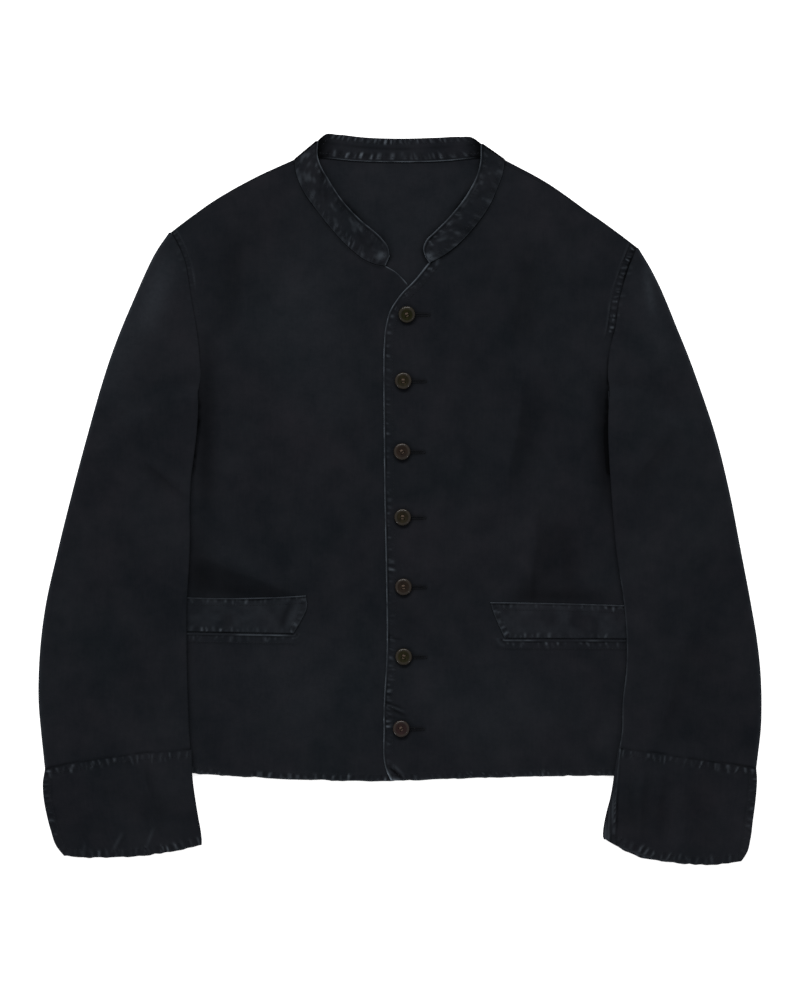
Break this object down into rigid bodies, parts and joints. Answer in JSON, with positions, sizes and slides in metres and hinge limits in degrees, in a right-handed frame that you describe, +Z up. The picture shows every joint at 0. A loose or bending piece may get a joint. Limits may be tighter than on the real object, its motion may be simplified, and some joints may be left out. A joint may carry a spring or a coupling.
{
  "type": "single-breasted jacket",
  "caption": "Single-breasted jacket of dark linen with a stand collar, laid flat and face up, buttoned down the front, with welt pockets and cuffed sleeves.",
  "frame": {"origin": "middle of the jacket's outline, on the surface that it lies on", "axes": "+X to the right of the jacket as it is seen (the wearer's left), +Y towards the collar, +Z up from the surface"},
  "size_m": [0.7237, 0.7303, 0.0111],
  "materials": {
    "cloth": "matt washed linen, dark navy",
    "button": "satin dark horn"
  },
  "bodies": {
    "root": {"back": "cloth", "front_right": "cloth", "front_left": "cloth", "collar": "cloth", "sleeve_top_right": "cloth", "sleeve_under_right": "cloth", "sleeve_top_left": "cloth", "sleeve_under_left": "cloth", "cuff_right": "cloth", "cuff_left": "cloth", "pocket_welt_right": "cloth", "pocket_welt_left": "cloth", "button_1": "button", "button_2": "button", "button_3": "button", "button_4": "button", "button_5": "button", "button_6": "button", "button_7": "button"}
  },
  "joints": []
}
